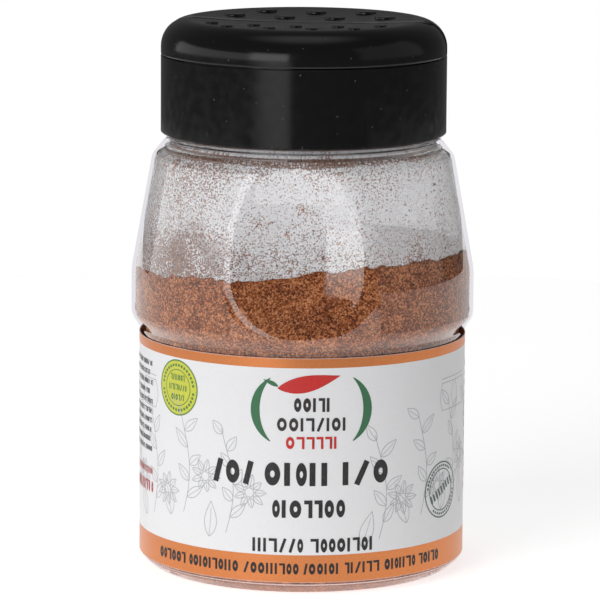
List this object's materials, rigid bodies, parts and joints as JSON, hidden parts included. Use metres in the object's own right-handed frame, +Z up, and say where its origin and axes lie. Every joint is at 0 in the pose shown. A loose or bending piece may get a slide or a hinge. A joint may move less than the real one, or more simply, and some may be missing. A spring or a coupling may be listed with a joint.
{
  "type": "spice jar",
  "caption": "Clear waisted jar of ground nutmeg with a wrap-round label and a black shaker cap whose hinged flaps lift.",
  "frame": {"origin": "centre of the jar's foot, on the surface that it stands on", "axes": "+Z up along the jar's axis; -Y is the front of the label; +X is to the right of a person who faces the front"},
  "size_m": [0.0626, 0.0624, 0.1005],
  "materials": {
    "clear_plastic": "clear and glossy",
    "ground_nutmeg": null,
    "label_paper": null,
    "black_plastic": "satin"
  },
  "bodies": {
    "jar_body": {"jar": "clear_plastic", "ground_nutmeg": "ground_nutmeg", "label": "label_paper", "cap_body": "black_plastic"},
    "fine_flap": {"flap_fine": "black_plastic"},
    "coarse_flap": {"flap_coarse": "black_plastic"}
  },
  "joints": [
    {"name": "fine_flap_hinge", "type": "hinge", "parent": "jar_body", "child": "fine_flap", "pos_m": [-0.00036, -0.00232, 0.0996], "axis": [-0.9882, 0.153, 0], "range_deg": [0, 90]},
    {"name": "coarse_flap_hinge", "type": "hinge", "parent": "jar_body", "child": "coarse_flap", "pos_m": [0.00018, 0.00114, 0.0996], "axis": [0.9882, -0.153, 0], "range_deg": [0, 90]}
  ]
}
